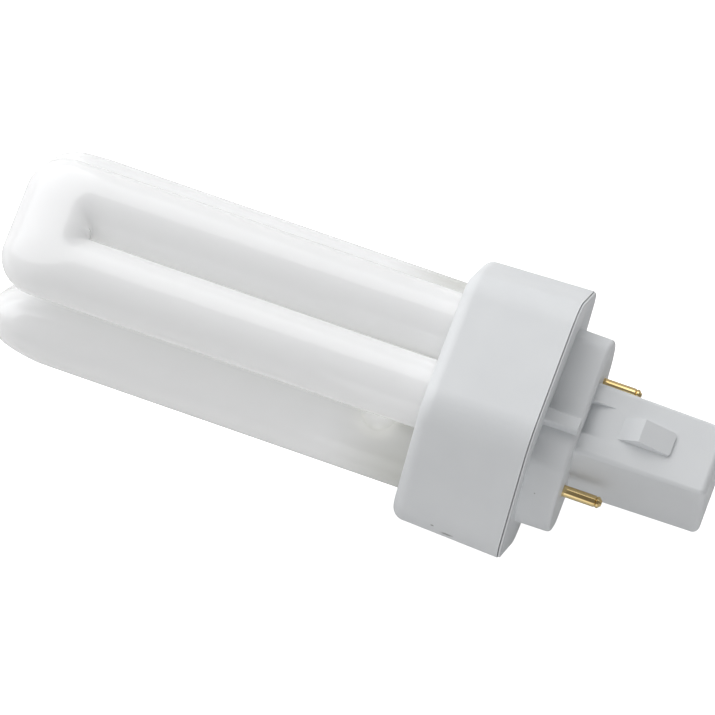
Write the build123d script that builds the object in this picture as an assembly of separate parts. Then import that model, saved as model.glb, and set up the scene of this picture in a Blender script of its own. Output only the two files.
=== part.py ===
from build123d import *
import os
from math import atan2, cos, degrees, hypot, radians, sin, sqrt, tan

# A plug-in compact fluorescent lamp: three bent glass tubes joined into one discharge path, a moulded
# six-sided collar that holds them, and a plug cap with two contact pins and a post that holds the
# glow starter. The lamp axis is X, with the post at +X and the glass at -X. The origin is the centre
# of the pin face, Z is up and square to the latch face of the post, and the pins lie along Y.

# Driving dimensions, in millimetres and degrees

# Glass
tube_diameter = 12.0
leg_gap = 0.8
bend_plane_offset = 11.3
glass_in_view = 75.3
bend_nose = 11.5
bend_tail = 2.6
bend_corner_radius = 6.5
bend_crown_drop = 0.1
bend_section_angles = (0, 14, 28, 42, 56, 70, 84)
bridge_waist = 6.0
bridge_flare = 1.2
bridge_sink = 2.3
bridge_height = 7.0
leg_insert = 8.5
leg_dome = 2.0
seal_width = 8.0
seal_thickness = 2.6
seal_length = 2.4

# Collar
collar_across_flats = 45.2
collar_corner_radius = 7.6
collar_length = 19.2
collar_draft = 2.5
collar_edge_radius = 2.3
collar_top_wall = 2.2
rim_wall = 0.8
ledge_width = 1.6
leg_hole_clearance = 0.15

# Cement that fixes the glass in the collar
cement_depth = 5.5
cement_clearance = 0.1

# Plug cap
flange_thickness = 2.4
flange_proud = 0.45
flange_seam = 0.25
lip_gap = 0.15
lip_inset = 0.15
lip_edge_radius = 0.2
neck_diameter = 34.0
neck_flats = 25.0
neck_length = 6.15
neck_draft = 0.6
neck_corner_radius = 2.5
neck_edge_radius = 0.7
key_width = 2.5
key_height = 2.2
key_offset = 3.9
key_end_gap = 0.3
key_edge_radius = 0.4
post_width = 13.4
post_height = 19.0
post_length = 23.1
post_draft = 0.8
post_corner_radius = 1.0
post_end_radius = 1.2
cap_wall = 1.5
latch_wall = 2.4
tooth_width = 4.2
tooth_height = 2.2
tooth_start = 6.1
tooth_ridge = 9.6
tooth_end = 15.2
tooth_end_height = 0.5
tooth_edge_radius = 0.3
tooth_corner_radius = 0.6
root_pocket_width = 6.0
root_pocket_length = 4.2
root_pocket_depth = 1.6

# Contact pins
pin_spacing = 20.5
pin_diameter = 2.0
pin_shank_diameter = 2.5
pin_reach = 6.8
pin_tip_chamfer = 0.55
pin_groove_depth = 0.15
pin_groove_place = 5.6
pin_groove_width = 0.35
pin_head_diameter = 3.6
pin_head_thickness = 0.8
pin_tail_diameter = 1.4
pin_tail_length = 1.6
pin_clearance = 0.05

# Starter, capacitor and wires in the cap
starter_diameter = 6.8
starter_start = 2.5
starter_end_gap = 2.0
capacitor_width = 8.4
capacitor_height = 3.4
capacitor_length = 9.0
capacitor_start = 4.5
capacitor_edge_radius = 0.8
seat_gap = 0.15
wire_diameter = 0.6
wire_bend_radius = 1.2
wire_joint_gap = 0.05

# Stations along the lamp axis
flange_outer_x = -neck_length
flange_inner_x = flange_outer_x - flange_thickness
rim_x = flange_outer_x - flange_proud
collar_face_x = rim_x - collar_length
tip_x = collar_face_x - glass_in_view
nose_x = tip_x + bend_nose
leg_end_x = collar_face_x + leg_insert
seal_end_x = leg_end_x + leg_dome + seal_length
cement_start_x = collar_face_x + collar_top_wall
pin_wall_x = -cap_wall
post_cavity_end_x = post_length - cap_wall

# Sizes that follow from those above
tube_radius = tube_diameter / 2
leg_pitch = tube_diameter + leg_gap
leg_circle = hypot(leg_pitch / 2, bend_plane_offset)
leg_half_angle = degrees(atan2(leg_pitch / 2, bend_plane_offset))
pocket_across_flats = collar_across_flats - 2 * rim_wall
pocket_corner_radius = collar_corner_radius - rim_wall
cavity_across_flats = pocket_across_flats - 2 * ledge_width
cavity_corner_radius = pocket_corner_radius - ledge_width
post_cavity_width = post_width - 2 * cap_wall
post_cavity_height = post_height - 2 * latch_wall
end_narrowing = 2 * post_cavity_end_x * tan(radians(post_draft))
cavity_end_height = post_cavity_height - end_narrowing
starter_end_x = post_cavity_end_x - starter_end_gap
starter_z = starter_diameter / 2 + seat_gap - cavity_end_height / 2
capacitor_z = cavity_end_height / 2 - seat_gap - capacitor_height / 2


def facing_post(x, y=0.0, z=0.0):
    """Plane across the lamp axis, facing the post, with its own axes along Y and Z."""
    return Plane((x, y, z), x_dir=(0, 1, 0), z_dir=(1, 0, 0))


def facing_glass(x):
    """Plane across the lamp axis, facing the glass."""
    return Plane((x, 0, 0), x_dir=(0, 1, 0), z_dir=(-1, 0, 0))


def polar(radius, angle):
    """Point across the lamp axis as (y, z), with the angle counted from Y towards Z."""
    return radius * cos(radians(angle)), radius * sin(radians(angle))


def rod(diameter, start, end, y=0.0, z=0.0):
    """Round bar along the lamp axis."""
    return extrude(facing_post(start, y, z) * Circle(diameter / 2), amount=end - start)


def hexagon(across_flats, corner_radius):
    """Six-sided outline with rounded corners, with two of its flats facing up and down."""
    outline = RegularPolygon(across_flats / 2, 6, major_radius=False)
    return fillet(outline.vertices(), corner_radius)


def wire(*points):
    """Round wire along straight runs with rounded bends."""
    path = FilletPolyline(*points, radius=wire_bend_radius)
    section = Plane(path @ 0, z_dir=path % 0) * Circle(wire_diameter / 2)
    return sweep(section, path)


# Legs in the order of the discharge path, as (y, z): the first and the last hold the electrodes
leg_places = [
    polar(leg_circle, bend_angle + side * leg_half_angle)
    for bend_angle in (90, 210, 330)
    for side in (-1, 1)
]
first_electrode = leg_places[0]
last_electrode = leg_places[-1]


def glass_leg(y):
    """One leg of a U, turned about its axis: a tapering nose, a straight run and a closed inner end."""
    nose = EllipticalCenterArc((nose_x, 0), bend_nose, tube_radius, 90, arc_size=90)
    inner_end = EllipticalCenterArc((leg_end_x, 0), leg_dome, tube_radius, 0, arc_size=90)
    outline = nose + Line(nose @ 0, inner_end @ 1) + inner_end + Line(inner_end @ 0, nose @ 1)
    return Pos(0, y, bend_plane_offset) * revolve(Plane.XZ * make_face(outline), Axis.X)


def bend_section(angle):
    """Section across the nose of a bend: a slot that thins as an ellipse and rounds off at its corners."""
    reach = (bend_nose - bend_crown_drop) * sin(radians(angle))
    past_corner = max(0.0, reach + bend_corner_radius - bend_nose)
    inset = bend_corner_radius - sqrt(bend_corner_radius**2 - past_corner**2)
    thickness = 2 * (tube_radius - bend_crown_drop)
    section = SlotOverall(leg_pitch + thickness - 2 * inset, thickness * cos(radians(angle)))
    return facing_glass(nose_x - reach) * section


def bent_tube():
    """One U of glass: two legs, the tapering nose that joins them and its round back between them."""
    nose = loft([bend_section(angle) for angle in bend_section_angles])
    crown = tube_radius - 2 * bend_crown_drop
    back = EllipticalCenterArc((nose_x, 0), bend_tail, crown, -90, arc_size=180)
    sunk_x = nose_x - bend_tail / 2
    outline = back + Polyline(back @ 1, (sunk_x, crown), (sunk_x, -crown), back @ 0)
    across = extrude(Plane.XZ * make_face(outline), leg_pitch / 2, both=True)
    bend = Pos(0, 0, bend_plane_offset) * (nose + across)
    return bend + glass_leg(-leg_pitch / 2) + glass_leg(leg_pitch / 2)


def bridge(place_a, place_b):
    """Short flared neck of glass that joins two neighbouring legs near the collar."""
    run_y = place_b[0] - place_a[0]
    run_z = place_b[1] - place_a[1]
    half = (hypot(run_y, run_z) - tube_diameter) / 2 + bridge_sink
    waist = bridge_waist / 2
    side = ThreePointArc((waist + bridge_flare, -half), (waist, 0), (waist + bridge_flare, half))
    outline = side + Polyline(side @ 1, (0, half), (0, -half), side @ 0)
    neck = revolve(Plane.XZ * make_face(outline), Axis.Z)
    middle_y = (place_a[0] + place_b[0]) / 2
    middle_z = (place_a[1] + place_b[1]) / 2
    middle = (collar_face_x - bridge_height, middle_y, middle_z)
    return Plane(middle, x_dir=(1, 0, 0), z_dir=(0, run_y, run_z)) * neck


def discharge_tube():
    """The whole glass: three bends, two bridges and the pinched seals of the electrode legs."""
    bend = bent_tube()
    glass = bend
    for turn in (120, 240):
        glass += Rot(turn, 0, 0) * bend
    glass += bridge(leg_places[1], leg_places[2])
    glass += bridge(leg_places[3], leg_places[4])
    for y, z in (first_electrode, last_electrode):
        seal = facing_post(leg_end_x, y, z) * SlotOverall(seal_width, seal_thickness)
        glass += extrude(seal, seal_end_x - leg_end_x)
    return glass


def base_collar():
    """Moulded collar: a drafted six-sided cup with a hole for each leg and a ledge for the cap."""
    rim_outline = facing_glass(rim_x) * hexagon(collar_across_flats, collar_corner_radius)
    cup = extrude(rim_outline, collar_length, taper=collar_draft)
    cup = fillet(cup.faces().sort_by(Axis.X)[0].edges(), collar_edge_radius)
    pocket = facing_glass(rim_x) * hexagon(pocket_across_flats, pocket_corner_radius)
    cup -= extrude(pocket, rim_x - flange_inner_x)
    cavity = facing_glass(rim_x) * hexagon(cavity_across_flats, cavity_corner_radius)
    cup -= extrude(cavity, collar_length - collar_top_wall)
    for y, z in leg_places:
        cup -= rod(tube_diameter + 2 * leg_hole_clearance, collar_face_x, cement_start_x, y, z)
    return cup


def fixing_cement():
    """Set cement behind the collar's face, cast round the legs."""
    across_flats = cavity_across_flats - 2 * cement_clearance
    outline = hexagon(across_flats, cavity_corner_radius - cement_clearance)
    block = extrude(facing_post(cement_start_x) * outline, cement_depth)
    for y, z in leg_places:
        hole = tube_diameter + 2 * cement_clearance
        block -= rod(hole, cement_start_x, cement_start_x + cement_depth, y, z)
    return block


def neck_outline(inset):
    """Round outline of the neck with a flat above and below and soft corners, drawn in by a wall."""
    diameter = neck_diameter - 2 * inset
    outline = Circle(diameter / 2) & Rectangle(diameter, neck_flats - 2 * inset)
    return fillet(outline.vertices(), neck_corner_radius - inset)


def latch_tooth():
    """Tooth on the upper face of the post: a short face towards the neck and a long ramp with a blunt end."""
    foot = post_height / 2 - cap_wall / 2
    crest = post_height / 2 + tooth_height - tooth_ridge * tan(radians(post_draft))
    face_start = post_height / 2 - tooth_start * tan(radians(post_draft))
    face_end = post_height / 2 - tooth_end * tan(radians(post_draft))
    outline = Polyline(
        (tooth_start, foot),
        (tooth_start, face_start),
        (tooth_ridge, crest),
        (tooth_end, face_end + tooth_end_height),
        (tooth_end, foot),
        close=True,
    )
    tooth = extrude(Plane.XZ * make_face(outline), tooth_width / 2, both=True)
    corners = tooth.edges().filter_by(Axis.Z).group_by(Axis.X)[-1]
    tooth = fillet(corners, tooth_corner_radius)
    ridge = tooth.edges().filter_by(Axis.Y).sort_by(Axis.Z)[-1]
    return fillet(ridge, tooth_edge_radius)


def root_pocket():
    """Pocket for the upper face of the post: deepest at the pin face, with a floor that runs out."""
    surface = post_height / 2
    runout = surface - root_pocket_length * tan(radians(post_draft))
    outline = Polyline(
        (0, surface - root_pocket_depth),
        (root_pocket_length, runout),
        (root_pocket_length, surface + root_pocket_depth),
        (0, surface + root_pocket_depth),
        close=True,
    )
    return extrude(Plane.XZ * make_face(outline), root_pocket_width / 2, both=True)


def base_cap():
    """Plug cap in one moulding: lipped flange, keyed neck and hollow post with its latch teeth."""
    pocket_fit = pocket_across_flats - 2 * flange_seam
    flange = facing_post(flange_inner_x) * hexagon(pocket_fit, pocket_corner_radius - flange_seam)
    lip_fit = collar_across_flats - 2 * lip_inset
    lip_outline = facing_post(rim_x + lip_gap) * hexagon(lip_fit, collar_corner_radius - lip_inset)
    lip = extrude(lip_outline, flange_proud - lip_gap)
    lip = fillet(lip.faces().sort_by(Axis.X)[-1].edges(), lip_edge_radius)
    neck = extrude(facing_post(flange_outer_x) * neck_outline(0), -flange_outer_x, taper=neck_draft)
    neck = fillet(neck.faces().sort_by(Axis.X)[-1].edges(), neck_edge_radius)
    post_outline = RectangleRounded(post_width, post_height, post_corner_radius)
    post = extrude(facing_post(0) * post_outline, post_length, taper=post_draft)
    post = fillet(post.faces().sort_by(Axis.X)[-1].edges(), post_end_radius)
    root = facing_post(pin_wall_x) * Rectangle(post_width - cap_wall, post_height - cap_wall)
    cap = extrude(flange, flange_thickness) + lip + neck + post + extrude(root, cap_wall)
    key_length = -key_end_gap - flange_outer_x
    key_foot = neck_flats / 2 - cap_wall / 2
    key_rise = key_height + cap_wall / 2
    key = Pos(flange_outer_x + key_length / 2, -key_offset, key_foot + key_rise / 2) * Box(
        key_length, key_width, key_rise
    )
    key = fillet(key.edges().filter_by(Axis.X).group_by(Axis.Z)[-1], key_edge_radius)
    for turn in (0, 180):
        cap += Rot(turn, 0, 0) * key
        cap += Rot(turn, 0, 0) * latch_tooth()
        cap -= Rot(turn, 0, 0) * root_pocket()
    neck_cavity = facing_post(flange_inner_x) * neck_outline(cap_wall)
    cap -= extrude(neck_cavity, pin_wall_x - flange_inner_x)
    post_cavity = facing_post(0) * Rectangle(post_cavity_width, post_cavity_height)
    cap -= extrude(post_cavity, post_cavity_end_x, taper=post_draft)
    cap -= extrude(post_cavity, pin_wall_x)
    for side in (-1, 1):
        cap -= rod(pin_shank_diameter + 2 * pin_clearance, pin_wall_x, 0, side * pin_spacing / 2)
    return cap


def contact_pin(side):
    """Turned brass pin: headed behind the pin wall, with a shank in it, a ring groove and a chamfered tip."""
    radius = pin_diameter / 2
    head_x = pin_wall_x - pin_head_thickness
    groove_end = pin_groove_place + pin_groove_width
    outline = Polyline(
        (head_x - pin_tail_length, 0),
        (head_x - pin_tail_length, pin_tail_diameter / 2),
        (head_x, pin_tail_diameter / 2),
        (head_x, pin_head_diameter / 2),
        (pin_wall_x, pin_head_diameter / 2),
        (pin_wall_x, pin_shank_diameter / 2),
        (0, pin_shank_diameter / 2),
        (0, radius),
        (pin_groove_place, radius),
        (pin_groove_place + pin_groove_width / 2, radius - pin_groove_depth),
        (groove_end, radius),
        (pin_reach - pin_tip_chamfer, radius),
        (pin_reach, radius - pin_tip_chamfer),
        (pin_reach, 0),
        close=True,
    )
    return Pos(0, side * pin_spacing / 2, 0) * revolve(Plane.XZ * make_face(outline), Axis.X)


def glow_starter():
    """Small glass glow switch: a round bulb with a domed end, lying along the post."""
    radius = starter_diameter / 2
    outline = Polyline((starter_start, 0), (starter_start, radius), (starter_end_x - radius, radius))
    end = CenterArc((starter_end_x - radius, 0), radius, 0, 90)
    outline += end
    outline += Line(end @ 0, (starter_start, 0))
    return Pos(0, 0, starter_z) * revolve(Plane.XZ * make_face(outline), Axis.X)


def suppression_capacitor():
    """Dipped film capacitor on the upper wall of the post, with wires down to the starter's leads."""
    outline = RectangleRounded(capacitor_width, capacitor_height, capacitor_edge_radius)
    capacitor = extrude(facing_post(capacitor_start, 0, capacitor_z) * outline, capacitor_length)
    turn_x = starter_start - wire_bend_radius
    foot_z = starter_z + wire_diameter + wire_joint_gap
    for y in (-starter_foot_y, starter_foot_y):
        root = (capacitor_start + wire_diameter, y, capacitor_z)
        capacitor += wire(root, (turn_x, y, capacitor_z), (turn_x, y, foot_z))
    return capacitor


pin_tail_x = pin_wall_x - pin_head_thickness - pin_tail_length
wire_start_x = seal_end_x + wire_joint_gap
wire_side = seal_width / 4
wire_turn_x = wire_start_x + wire_bend_radius + wire_diameter
starter_foot_y = starter_diameter / 4


def pin_lead(electrode, side, inset):
    """Wire from an electrode's seal to the tail of a pin."""
    y, z = electrode
    pin_y = side * pin_spacing / 2
    near_pin_x = pin_tail_x - wire_bend_radius - wire_diameter
    return wire(
        (wire_start_x, y + inset, z),
        (wire_turn_x, y + inset, z),
        (near_pin_x, pin_y, 0),
        (pin_tail_x - wire_joint_gap, pin_y, 0),
    )


def starter_lead(electrode, side, inset):
    """Wire from an electrode's seal to the foot of the starter."""
    y, z = electrode
    foot_y = side * starter_foot_y
    return wire(
        (wire_start_x, y + inset, z),
        (wire_turn_x, y + inset, z),
        (pin_wall_x - wire_bend_radius, foot_y, starter_z),
        (starter_start - wire_joint_gap, foot_y, starter_z),
    )


pieces = {
    "discharge_tube": discharge_tube(),
    "base_collar": base_collar(),
    "fixing_cement": fixing_cement(),
    "base_cap": base_cap(),
    "contact_pin_left": contact_pin(1),
    "contact_pin_right": contact_pin(-1),
    "glow_starter": glow_starter(),
    "suppression_capacitor": suppression_capacitor(),
    "pin_lead_left": pin_lead(last_electrode, 1, wire_side),
    "pin_lead_right": pin_lead(first_electrode, -1, -wire_side),
    "starter_lead_left": starter_lead(last_electrode, 1, -wire_side),
    "starter_lead_right": starter_lead(first_electrode, -1, wire_side),
}

os.makedirs("parts", exist_ok=True)
for name, piece in pieces.items():
    export_step(piece, f"parts/{name}.step")
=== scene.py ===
from math import cos, pi, radians, sin

import bmesh
import bpy
import numpy as np
from mathutils import Matrix, Vector


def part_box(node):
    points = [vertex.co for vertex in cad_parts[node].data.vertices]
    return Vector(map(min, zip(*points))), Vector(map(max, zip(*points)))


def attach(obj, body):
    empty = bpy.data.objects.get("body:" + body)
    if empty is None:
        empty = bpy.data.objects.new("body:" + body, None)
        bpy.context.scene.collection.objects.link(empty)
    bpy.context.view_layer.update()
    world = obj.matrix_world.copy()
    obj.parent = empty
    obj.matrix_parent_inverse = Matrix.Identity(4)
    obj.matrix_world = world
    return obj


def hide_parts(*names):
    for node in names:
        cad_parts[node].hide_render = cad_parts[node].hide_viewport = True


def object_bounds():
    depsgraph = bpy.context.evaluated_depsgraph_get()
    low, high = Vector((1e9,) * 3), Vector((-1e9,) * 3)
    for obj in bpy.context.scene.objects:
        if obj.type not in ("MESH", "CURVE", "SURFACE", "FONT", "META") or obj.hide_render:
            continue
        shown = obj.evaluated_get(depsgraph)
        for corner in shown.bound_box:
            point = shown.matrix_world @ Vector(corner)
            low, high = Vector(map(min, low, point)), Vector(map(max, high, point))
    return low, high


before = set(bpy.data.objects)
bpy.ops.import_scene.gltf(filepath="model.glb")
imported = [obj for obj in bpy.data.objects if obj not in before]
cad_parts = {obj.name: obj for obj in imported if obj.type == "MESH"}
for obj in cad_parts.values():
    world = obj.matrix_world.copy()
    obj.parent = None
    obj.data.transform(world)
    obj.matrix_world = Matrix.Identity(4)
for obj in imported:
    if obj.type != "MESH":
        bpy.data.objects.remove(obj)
cad_low, cad_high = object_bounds()

# The glass: drawn tube, bent into three narrow U shapes with flattened noses, fused to each other by two
# bridges near the collar and pinched shut over the electrodes. A white phosphor coats its inside, so it is
# glossy over a dull white, and a faint even glow stands for room light that passes through the coating.
MM = 0.001
tube_radius = 6.0 * MM
leg_gap = 0.8 * MM
bend_nose = 10.2 * MM
bend_tail = 2.8 * MM
bend_ridge = 5.4 * MM
crotch_web = 0.4
bend_corner = 6.5 * MM
ridge_squareness = 4.0
leg_dome = 2.0 * MM
first_dome_angle = 0.08
seal_length = 2.4 * MM
seal_half_width = 4.0 * MM
seal_half_thickness = 1.3 * MM
seal_roundness = 0.6
bridge_waist = 3.0 * MM
bridge_flare = 1.2 * MM
bridge_half_length = 2.9 * MM
bridge_height = 7.0 * MM
dome_rings, leg_rings, bend_rings, tube_points = 12, 40, 121, 128
bridge_rings, bridge_points = 25, 64
seal_rings, seal_points = 4, 48
u_turns = (0.0, 2 * pi / 3, 4 * pi / 3)
bridge_turns = (radians(150), radians(270))
glass_low, glass_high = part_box("discharge_tube")
collar_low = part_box("base_collar")[0]
leg_offset = tube_radius + leg_gap / 2
plane_offset = glass_high.z - tube_radius
pivot_x = glass_low.x + bend_nose + bend_tail + leg_gap / 2
leg_end_x = glass_high.x - seal_length - leg_dome


def capped_tube(rings, first_pole, last_pole):
    """Tube through rings of points, each ring joined to the next and both ends closed by a fan, as
    (vertices, quads, triangles)."""
    count, around = rings.shape[:2]
    index = np.arange(count * around).reshape(count, around)
    ahead = np.roll(index, -1, axis=1)
    quads = np.stack([index[:-1], ahead[:-1], ahead[1:], index[1:]], axis=-1).reshape(-1, 4)
    first_fan = np.stack([ahead[0], index[0], np.full(around, count * around)], axis=-1)
    last_fan = np.stack([index[-1], ahead[-1], np.full(around, count * around + 1)], axis=-1)
    vertices = np.concatenate([rings.reshape(-1, 3), [first_pole, last_pole]])
    return vertices, quads, np.concatenate([first_fan, last_fan])


def joined_mesh(name, shells):
    """One smooth mesh object from several closed shells of (vertices, quads, triangles)."""
    faces, start = [], 0
    for vertices, quads, triangles in shells:
        faces += (quads + start).tolist() + (triangles + start).tolist()
        start += len(vertices)
    mesh = bpy.data.meshes.new(name)
    mesh.from_pydata(np.concatenate([shell[0] for shell in shells]).tolist(), [], faces)
    mesh.polygons.foreach_set("use_smooth", np.ones(len(mesh.polygons), bool))
    mesh.update()
    piece = bpy.data.objects.new(name, mesh)
    bpy.context.scene.collection.objects.link(piece)
    return piece


def turned(x, y, z, turn):
    """Points turned about the lamp's axis, which is X."""
    turned_y = y * cos(turn) - z * sin(turn)
    turned_z = y * sin(turn) + z * cos(turn)
    return np.stack(np.broadcast_arrays(x, turned_y, turned_z), axis=-1)


def outline_reach(angle):
    """Distance from the crotch to the outline of the bend, a rectangle with round outer corners:
    the straight side or end where the ray meets it, or else the far crossing with the corner's circle."""
    side, end = np.abs(np.cos(angle)), np.sin(angle)
    half_width, length = leg_offset + tube_radius, pivot_x - glass_low.x
    centre_y, centre_x = half_width - bend_corner, length - bend_corner
    along = side * centre_y + end * centre_x
    inside = np.maximum(along**2 - centre_y**2 - centre_x**2 + bend_corner**2, 0)
    corner = along + np.sqrt(inside)
    to_side = half_width / np.maximum(side, 1e-9)
    to_end = length / np.maximum(end, 1e-9)
    reach = np.where(to_side * end < centre_x, to_side, corner)
    return np.where(to_end * side < centre_y, to_end, reach)


def squarish_reach(angle, extent):
    """Distance from the crotch to a squarish oval, which reaches the crowns of the legs on both sides and a
    given extent ahead. It is an ellipse whose two terms are raised to the ridge's squareness, not squared."""
    side = (np.abs(np.cos(angle)) / leg_offset) ** ridge_squareness
    ahead = (np.sin(angle) / extent) ** ridge_squareness
    return (side + ahead) ** (-1 / ridge_squareness)


def bent_tube(turn):
    """One U of glass. On a leg each section is a circle. Round the crotch its height is the product of two
    half ellipses: the nose falls from the start of the bend to the outline, and the back falls from the
    ridge to the gap, but less far in the middle, where a web closes the crotch. Start and ridge follow
    squarish ovals, so the legs run straight into the bend."""
    dome_angle = np.linspace(first_dome_angle, pi / 2, dome_rings)
    dome_x = leg_end_x + leg_dome * np.cos(dome_angle)
    leg_x = np.linspace(leg_end_x, pivot_x, leg_rings)[1:-1]
    bend = np.linspace(0, pi, bend_rings)
    run_x = np.concatenate([dome_x, leg_x])
    run_swell = np.concatenate([np.sin(dome_angle), np.ones(len(leg_x))])
    unbent = np.zeros(len(run_x))
    station_x = np.concatenate([run_x, np.full(len(bend), pivot_x), run_x[::-1]])
    angle = np.concatenate([unbent, bend, unbent + pi])
    swell = np.concatenate([run_swell, np.ones(len(bend)), run_swell[::-1]])
    on_bend = np.concatenate([unbent, np.ones(len(bend)), unbent]) > 0
    start = np.where(on_bend, squarish_reach(angle, bend_tail + leg_gap / 2), leg_offset)[:, None]
    ridge = np.where(on_bend, squarish_reach(angle, bend_ridge), leg_offset)[:, None]
    outer = np.where(on_bend, outline_reach(angle), leg_offset + tube_radius * swell)[:, None]
    inner = np.where(on_bend, leg_gap / 2, leg_offset - tube_radius * swell)[:, None]
    around = np.linspace(0, 2 * pi, tube_points, endpoint=False)
    reach = ridge + np.where(np.cos(around) > 0, outer - ridge, ridge - inner) * np.cos(around)
    fall = 1 - crotch_web * np.where(on_bend, np.sin(angle) ** 2, 0)[:, None]
    back = np.sqrt(1 - fall * np.minimum(np.cos(around), 0) ** 2)
    nose = np.sqrt(1 - np.clip((reach - start) / (outer - start), 0, 1) ** 2)
    x = station_x[:, None] - np.sin(angle)[:, None] * reach
    y = np.cos(angle)[:, None] * reach
    z = plane_offset - tube_radius * swell[:, None] * np.sign(np.sin(around)) * back * nose
    poles = turned(leg_end_x + leg_dome, np.array([leg_offset, -leg_offset]), plane_offset, turn)
    return capped_tube(turned(x, y, z, turn), poles[0], poles[1])


def glass_bridge(turn):
    """Bridge between two legs: a short neck turned about the line between them, whose radius grows from
    the waist with the square of the distance from its middle."""
    along = np.linspace(-1, 1, bridge_rings)[:, None]
    radius = bridge_waist + bridge_flare * along**2
    around = np.linspace(0, 2 * pi, bridge_points, endpoint=False)
    middle_x = collar_low.x - bridge_height
    middle_y = np.hypot(leg_offset, plane_offset) * cos(pi / 3 - np.arctan2(leg_offset, plane_offset))
    run = along * bridge_half_length
    x, y = middle_x + radius * np.sin(around), middle_y + radius * np.cos(around)
    ends = turned(middle_x, middle_y, run[[0, -1], 0], turn)
    return capped_tube(turned(x, y, run, turn), ends[0], ends[1])


def pinched_seal(turn):
    """Seal over an electrode: a flat oval bar, as wide as the pincers, out of the closed end of a leg. Its
    side is a cosine raised to the seal's roundness, and its thickness is a sine."""
    centre_y, centre_z = turned(0.0, leg_offset, plane_offset, turn)[1:]
    around = np.linspace(0, 2 * pi, seal_points, endpoint=False)
    side = np.sign(np.cos(around)) * np.abs(np.cos(around)) ** seal_roundness
    x = np.linspace(leg_end_x, glass_high.x, seal_rings)[:, None]
    y = centre_y + seal_half_width * side
    z = centre_z + seal_half_thickness * np.sin(around)
    rings = np.stack(np.broadcast_arrays(x, y, z), axis=-1)
    return capped_tube(rings, (leg_end_x, centre_y, centre_z), (glass_high.x, centre_y, centre_z))


shells = [bent_tube(turn) for turn in u_turns]
shells += [glass_bridge(turn) for turn in bridge_turns]
shells += [pinched_seal(turn) for turn in (u_turns[0], u_turns[-1])]
glass = joined_mesh("glass_tubes", shells)
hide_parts("discharge_tube")
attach(glass, "root")


def bare_material(name):
    """New node material with its Principled shader, as (material, nodes, links, shader)."""
    material = bpy.data.materials.new(name)
    material.use_nodes = True
    nodes, links = material.node_tree.nodes, material.node_tree.links
    return material, nodes, links, nodes["Principled BSDF"]


def cloudiness_group():
    """Shared effect: soft noise on Object coordinates, as a value round a half."""
    group = bpy.data.node_groups.new("cloudiness", "ShaderNodeTree")
    group.interface.new_socket("Fineness", in_out="INPUT", socket_type="NodeSocketFloat")
    group.interface.new_socket("Stretch", in_out="INPUT", socket_type="NodeSocketVector")
    group.interface.new_socket("Cloud", in_out="OUTPUT", socket_type="NodeSocketFloat")
    nodes, links = group.nodes, group.links
    inputs, outputs = nodes.new("NodeGroupInput"), nodes.new("NodeGroupOutput")
    place = nodes.new("ShaderNodeTexCoord")
    stretch = nodes.new("ShaderNodeVectorMath")
    stretch.operation = "MULTIPLY"
    noise = nodes.new("ShaderNodeTexNoise")
    noise.inputs["Detail"].default_value = 3.0
    links.new(place.outputs["Object"], stretch.inputs[0])
    links.new(inputs.outputs["Stretch"], stretch.inputs[1])
    links.new(stretch.outputs["Vector"], noise.inputs["Vector"])
    links.new(inputs.outputs["Fineness"], noise.inputs["Scale"])
    links.new(noise.outputs["Fac"], outputs.inputs["Cloud"])
    return group


cloudiness = cloudiness_group()


def clouds(nodes, fineness, stretch=(1.0, 1.0, 1.0)):
    """Places the shared noise in a material, with its own fineness and stretch."""
    cloud = nodes.new("ShaderNodeGroup")
    cloud.node_tree = cloudiness
    cloud.inputs["Fineness"].default_value = fineness
    cloud.inputs["Stretch"].default_value = stretch
    return cloud.outputs["Cloud"]


def between(nodes, links, value, low, high):
    """A value from nought to one, spread over a range."""
    spread = nodes.new("ShaderNodeMapRange")
    spread.inputs["To Min"].default_value = low
    spread.inputs["To Max"].default_value = high
    links.new(value, spread.inputs["Value"])
    return spread.outputs["Result"]


def blended(nodes, links, mask, first, second):
    """Two colours mixed by a mask; either may be a socket or a plain colour."""
    mix = nodes.new("ShaderNodeMix")
    mix.data_type = "RGBA"
    links.new(mask, mix.inputs["Factor"])
    for socket, colour in (("A", first), ("B", second)):
        target = [s for s in mix.inputs if s.name == socket and s.type == "RGBA"][0]
        if isinstance(colour, bpy.types.NodeSocket):
            links.new(colour, target)
        else:
            target.default_value = (*colour, 1.0)
    return [s for s in mix.outputs if s.type == "RGBA"][0]


def bumped(nodes, links, height, strength, distance):
    """Bump normal from a height."""
    bump = nodes.new("ShaderNodeBump")
    bump.inputs["Strength"].default_value = strength
    bump.inputs["Distance"].default_value = distance
    links.new(height, bump.inputs["Height"])
    return bump.outputs["Normal"]


def along_axis(nodes, links, axis, start, end):
    """Ramp from nought to one along one axis of the frame, between two places in metres."""
    place = nodes.new("ShaderNodeTexCoord")
    split = nodes.new("ShaderNodeSeparateXYZ")
    ramp = nodes.new("ShaderNodeMapRange")
    ramp.interpolation_type = "SMOOTHSTEP"
    ramp.inputs["From Min"].default_value = start
    ramp.inputs["From Max"].default_value = end
    links.new(place.outputs["Object"], split.inputs["Vector"])
    links.new(split.outputs[axis], ramp.inputs["Value"])
    return ramp.outputs["Result"]


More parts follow.
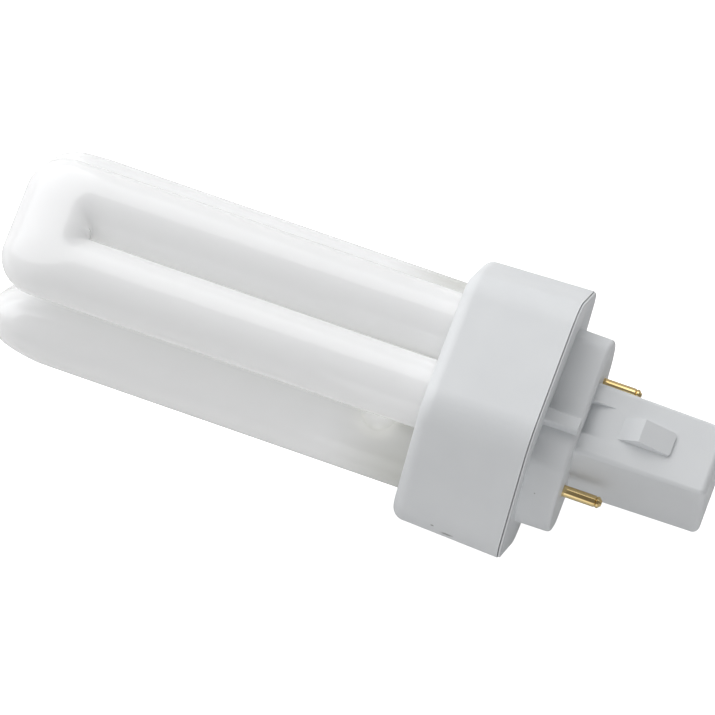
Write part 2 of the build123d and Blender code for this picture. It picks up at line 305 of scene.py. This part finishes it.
phosphor_white = (0.648, 0.652, 0.668)
phosphor_thin = (0.608, 0.612, 0.622)
# Painted shade: a darker coat colour for the low side of the glass near the collar, where the tubes shade
# each other in the crevices.
phosphor_shaded = (0.36, 0.365, 0.345)
passed_light = (0.985, 0.985, 0.945)
unshaded_above_z, shaded_below_z = 9 * MM, 4 * MM
shade_length = 16 * MM
coated_glass, nodes, links, shader = bare_material("coated_glass")
coat_cloud = between(nodes, links, clouds(nodes, 90.0, stretch=(0.35, 1.0, 1.0)), 0.0, 0.6)
coat_colour = blended(nodes, links, coat_cloud, phosphor_white, phosphor_thin)
# Painted shade: the coat darkens towards the low side and towards the collar, standing in for the shade that
# falls in the crevices between the tubes there.
low_side = along_axis(nodes, links, "Z", unshaded_above_z, shaded_below_z)
shaded_low = blended(nodes, links, low_side, coat_colour, phosphor_shaded)
by_collar = along_axis(nodes, links, "X", collar_low.x - shade_length, collar_low.x)
coat_colour = blended(nodes, links, by_collar, coat_colour, shaded_low)
links.new(coat_colour, shader.inputs["Base Color"])
drawn_waves = clouds(nodes, 160.0, stretch=(0.12, 1.0, 1.0))
wavy_normal = bumped(nodes, links, drawn_waves, strength=0.12, distance=0.4 * MM)
links.new(wavy_normal, shader.inputs["Normal"])
shader.inputs["Subsurface Weight"].default_value = 1.0
shader.inputs["Subsurface Radius"].default_value = (1.0, 1.0, 1.0)
shader.inputs["Subsurface Scale"].default_value = 8 * MM
shader.inputs["Emission Color"].default_value = (*passed_light, 1.0)
shader.inputs["Emission Strength"].default_value = 0.23
shader.inputs["Roughness"].default_value = 0.55
shader.inputs["Specular IOR Level"].default_value = 0.2
shader.inputs["Coat Weight"].default_value = 1.0
shader.inputs["Coat Roughness"].default_value = 0.05
shader.inputs["Coat IOR"].default_value = 1.5
glass.data.materials.append(coated_glass)

# The cement: a grey-white paste that is poured round the legs behind the collar's face and bakes hard.
# It holds the glass in the collar and shows only when the lamp is taken apart.
cement_light = (0.68, 0.65, 0.58)
cement_dark = (0.52, 0.49, 0.43)
cement, nodes, links, shader = bare_material("set_cement")
cement_grain = clouds(nodes, 900.0)
links.new(blended(nodes, links, cement_grain, cement_light, cement_dark), shader.inputs["Base Color"])
grainy_normal = bumped(nodes, links, cement_grain, strength=0.5, distance=0.3 * MM)
links.new(grainy_normal, shader.inputs["Normal"])
shader.inputs["Roughness"].default_value = 0.9


def dress(node, material):
    """Gives a CAD node its finish in place of the plain one that it was packed with."""
    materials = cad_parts[node].data.materials
    materials.clear()
    materials.append(material)


dress("fixing_cement", cement)

# The collar: a six-sided cup, moulded in white plastic with a little draft and round edges. The glass
# stands in its holes, and its rim takes the plug cap. A lower corner is scuffed from handling.
plastic_white = (0.795, 0.812, 0.825)
plastic_greyed = (0.735, 0.752, 0.77)
scuff_grey = (0.22, 0.22, 0.20)
spot_clear, spot_full = 1.5, 0.5
weld_distance = 0.002 * MM
sharp_angle = radians(30)
collar_scuffs = (
    (Vector((-15.7, -24.5, 0.1)) * MM, Vector((1.5, 0.8, 0.55)) * MM),
    (Vector((-18.3, -24.3, 1.3)) * MM, Vector((0.4, 0.8, 0.3)) * MM),
)


def worn_spot(nodes, links, place, size):
    """Mask of a small ragged mark: the distance from its place, in its own sizes, broken up by noise."""
    coordinate = nodes.new("ShaderNodeTexCoord")
    offset = nodes.new("ShaderNodeVectorMath")
    offset.operation = "SUBTRACT"
    offset.inputs[1].default_value = place
    scaled = nodes.new("ShaderNodeVectorMath")
    scaled.operation = "DIVIDE"
    scaled.inputs[1].default_value = size
    distance = nodes.new("ShaderNodeVectorMath")
    distance.operation = "LENGTH"
    ragged = nodes.new("ShaderNodeMath")
    ragged.operation = "ADD"
    fade = nodes.new("ShaderNodeMapRange")
    fade.interpolation_type = "SMOOTHSTEP"
    fade.inputs["From Min"].default_value = spot_clear
    fade.inputs["From Max"].default_value = spot_full
    links.new(coordinate.outputs["Object"], offset.inputs[0])
    links.new(offset.outputs["Vector"], scaled.inputs[0])
    links.new(scaled.outputs["Vector"], distance.inputs[0])
    links.new(distance.outputs["Value"], ragged.inputs[0])
    links.new(clouds(nodes, 1800.0), ragged.inputs[1])
    links.new(ragged.outputs["Value"], fade.inputs["Value"])
    return fade.outputs["Result"]


def moulded_plastic(name, spots):
    """White moulded plastic: a faint cloudy tone, a sheen that varies with it, a fine grain and its marks."""
    material, nodes, links, shader = bare_material(name)
    tone = clouds(nodes, 120.0)
    colour = blended(nodes, links, tone, plastic_white, plastic_greyed)
    for place, size in spots:
        colour = blended(nodes, links, worn_spot(nodes, links, place, size), colour, scuff_grey)
    links.new(colour, shader.inputs["Base Color"])
    links.new(between(nodes, links, tone, 0.36, 0.52), shader.inputs["Roughness"])
    fine_normal = bumped(nodes, links, clouds(nodes, 2600.0), strength=0.10, distance=0.05 * MM)
    links.new(fine_normal, shader.inputs["Normal"])
    return material


def smoothed_copy(node, name):
    """The node's own solid with its triangles joined, smooth over round edges and sharp over corners."""
    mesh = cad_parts[node].data.copy()
    mesh.name = name
    shape = bmesh.new()
    shape.from_mesh(mesh)
    bmesh.ops.remove_doubles(shape, verts=shape.verts, dist=weld_distance)
    for face in shape.faces:
        face.smooth = True
    for edge in shape.edges:
        edge.smooth = edge.calc_face_angle(pi) < sharp_angle
    shape.to_mesh(mesh)
    shape.free()
    mesh.materials.clear()
    piece = bpy.data.objects.new(name, mesh)
    bpy.context.scene.collection.objects.link(piece)
    weighted = piece.modifiers.new("even_flats", "WEIGHTED_NORMAL")
    weighted.keep_sharp = True
    weighted.weight = 100
    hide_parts(node)
    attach(piece, "root")
    return piece


collar = smoothed_copy("base_collar", "moulded_collar")
collar.data.materials.append(moulded_plastic("collar_plastic", collar_scuffs))

# The plug cap: one moulding in the same plastic, with a flange that sits in the collar's rim, a keyed neck
# and a hollow post whose two teeth catch in the lampholder. It has one speck of dirt on its neck.
cap_specks = ((Vector((-3.8, -15.3, 7.4)) * MM, Vector((0.2, 0.2, 0.2)) * MM),)
cap = smoothed_copy("base_cap", "plug_cap")
cap.data.materials.append(moulded_plastic("cap_plastic", cap_specks))

# The contact pins: turned from drawn brass rod, pressed into the cap from inside up to their heads and left
# bright, with faint streaks along them.
brass_bright = (0.91, 0.73, 0.38)
brass_dull = (0.42, 0.26, 0.08)
pin_brass, nodes, links, shader = bare_material("pin_brass")
drawing = clouds(nodes, 1100.0, stretch=(0.06, 1.0, 1.0))
streaks = between(nodes, links, drawing, -0.7, 1.3)
links.new(blended(nodes, links, streaks, brass_bright, brass_dull), shader.inputs["Base Color"])
links.new(between(nodes, links, drawing, 0.02, 0.16), shader.inputs["Roughness"])
shader.inputs["Metallic"].default_value = 1.0
for side in ("left", "right"):
    pin = smoothed_copy(f"contact_pin_{side}", f"brass_pin_{side}")
    pin.data.materials.append(pin_brass)

# The starter: a small bulb of clear glass with a glow switch sealed in it. It is held in the post by its
# leads and shows only when the cap is opened.
starter_clear = (0.86, 0.90, 0.90)
starter_filmed = (0.62, 0.66, 0.66)
starter_glass, nodes, links, shader = bare_material("starter_glass")
film = clouds(nodes, 500.0)
links.new(blended(nodes, links, film, starter_clear, starter_filmed), shader.inputs["Base Color"])
shader.inputs["Roughness"].default_value = 0.06
dress("glow_starter", starter_glass)

# The capacitor: a wound film, dipped in brown resin, that keeps the starter's sparks from the mains. Its
# wires run to the starter's leads inside the post.
resin_light = (0.60, 0.30, 0.09)
resin_dark = (0.42, 0.18, 0.05)
resin_dip, nodes, links, shader = bare_material("resin_dip")
dip = clouds(nodes, 420.0)
links.new(blended(nodes, links, dip, resin_light, resin_dark), shader.inputs["Base Color"])
shader.inputs["Roughness"].default_value = 0.22
dress("suppression_capacitor", resin_dip)

# The leads: tinned wires, bent to run from the seals of the glass to the pins and to the starter. The cap
# hides them.
tin_bright = (0.72, 0.71, 0.68)
tin_dull = (0.50, 0.49, 0.46)
tinned_wire, nodes, links, shader = bare_material("tinned_wire")
tin = clouds(nodes, 1500.0)
links.new(blended(nodes, links, tin, tin_bright, tin_dull), shader.inputs["Base Color"])
shader.inputs["Metallic"].default_value = 1.0
shader.inputs["Roughness"].default_value = 0.3
for lead in ("pin_lead_left", "pin_lead_right", "starter_lead_left", "starter_lead_right"):
    dress(lead, tinned_wire)

# The stage: a plain white floor under the lamp, as a bright sheet that the lamp is laid on. It is lit for
# the camera alone and greyer in the glass, so thin grey edges show there.
floor_half = 1.5
paper_light = (0.76, 0.76, 0.76)
paper_dark = (0.74, 0.74, 0.74)
floor_mesh = bpy.data.meshes.new("floor")
corners = [
    (-floor_half, -floor_half, cad_low.z),
    (floor_half, -floor_half, cad_low.z),
    (floor_half, floor_half, cad_low.z),
    (-floor_half, floor_half, cad_low.z),
]
floor_mesh.from_pydata(corners, [], [(0, 1, 2, 3)])
floor = bpy.data.objects.new("floor", floor_mesh)
bpy.context.scene.collection.objects.link(floor)
floor_paper, nodes, links, shader = bare_material("floor_paper")
paper = clouds(nodes, 20.0)
links.new(blended(nodes, links, paper, paper_light, paper_dark), shader.inputs["Base Color"])
shader.inputs["Roughness"].default_value = 0.9
shader.inputs["Emission Color"].default_value = (1.0, 1.0, 1.0, 1.0)
seen = nodes.new("ShaderNodeLightPath").outputs["Is Camera Ray"]
links.new(between(nodes, links, seen, 0.0, 0.9), shader.inputs["Emission Strength"])
floor_mesh.materials.append(floor_paper)

# The light: a white room, the lit wall of a light tent over the glass, which draws the broad shine on the
# bends and the bright lines on the legs, a weak panel above and a small box below the base, which open
# the shade.
world = bpy.data.worlds.new("white_room")
world.use_nodes = True
background = world.node_tree.nodes["Background"]
background.inputs["Color"].default_value = (1.0, 1.0, 1.0, 1.0)
background.inputs["Strength"].default_value = 0.25
bpy.context.scene.world = world
aim = Vector((-0.040, 0.0, 0.0))


def soft_box(name, towards, distance, length, height, power):
    """Oblong area light in a direction from the lamp, turned to face it with its length along the lamp."""
    data = bpy.data.lights.new(name, "AREA")
    data.shape = "RECTANGLE"
    data.size = length
    data.size_y = height
    data.energy = power
    light = bpy.data.objects.new(name, data)
    bpy.context.scene.collection.objects.link(light)
    direction = Vector(towards).normalized()
    light.location = aim + direction * distance
    light.rotation_mode = "QUATERNION"
    light.rotation_quaternion = direction.to_track_quat("Z", "Y")


soft_box("tent_wall", (-0.60, 0.418, 0.682), distance=0.9, length=1.6, height=1.3, power=11.6)
soft_box("top_panel", (-0.05, 0.966, 0.259), distance=0.9, length=1.2, height=0.35, power=0.6)
soft_box("base_fill", (0.5, -0.85, 0.1), distance=0.36, length=0.5, height=0.35, power=0.5)

# The camera: a long lens that looks down on the lamp, with the lamp rolled a little to show two faces of
# the collar and its axis running down to the right.
camera_roll = radians(21.5)
camera_tilt = radians(4.6)
axis_slope = radians(19.1)
camera_distance = 2.0
frame_width = 0.1196
centre_lift = 0.2 * MM
sideways, upwards = -sin(camera_roll), cos(camera_roll)
back = Vector((sin(camera_tilt), cos(camera_tilt) * sideways, cos(camera_tilt) * upwards))
axis_in_view = (Vector((1, 0, 0)) - back * back.x).normalized()
across_in_view = axis_in_view.cross(back)
right = axis_in_view * cos(axis_slope) - across_in_view * sin(axis_slope)
up = back.cross(right)
lens_data = bpy.data.cameras.new("camera")
lens_data.sensor_width = 36.0
lens_data.lens = lens_data.sensor_width * camera_distance / frame_width
camera = bpy.data.objects.new("camera", lens_data)
bpy.context.scene.collection.objects.link(camera)
camera.rotation_mode = "QUATERNION"
camera.rotation_quaternion = Matrix((right, up, back)).transposed().to_quaternion()
camera.location = aim + up * centre_lift + back * camera_distance
bpy.context.scene.camera = camera
bpy.context.scene.view_settings.view_transform = "Standard"
